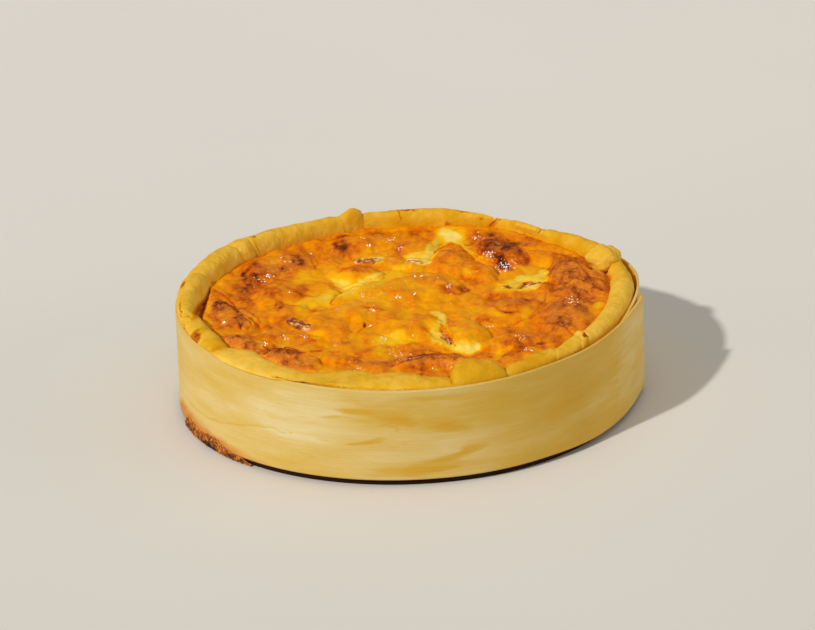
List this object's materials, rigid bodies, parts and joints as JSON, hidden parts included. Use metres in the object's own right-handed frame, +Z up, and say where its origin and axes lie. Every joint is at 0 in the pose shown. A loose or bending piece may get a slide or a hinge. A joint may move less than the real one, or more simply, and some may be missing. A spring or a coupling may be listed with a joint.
{
  "type": "quiche lorraine",
  "caption": "Round quiche with a puffed browned custard top and an uneven rolled pastry rim, in its thin bent-wood ring.",
  "frame": {"origin": "middle of the quiche's underside, on the surface it stands on", "axes": "+Z up, -Y towards the front, where the knob of pastry sits on the rim, +X to the right, where the wooden strip's end overlaps"},
  "size_m": [0.2002, 0.2042, 0.051],
  "materials": {
    "crust": "baked shortcrust pastry, pale gold, egg-glazed at the back",
    "custard": "baked egg custard, yellow to orange-brown, slightly greasy",
    "veneer": "thin poplar veneer, matte, stained by the oven",
    "bacon": "browned smoked bacon, moist",
    "burnt": "custard burnt to a dark crumbly crust"
  },
  "bodies": {
    "root": {"crust": "crust", "custard": "custard", "band": "veneer", "burnt_spill": "burnt", "lardon_1": "bacon", "lardon_2": "bacon", "lardon_3": "bacon", "lardon_4": "bacon", "lardon_5": "bacon", "lardon_6": "bacon"}
  },
  "joints": []
}
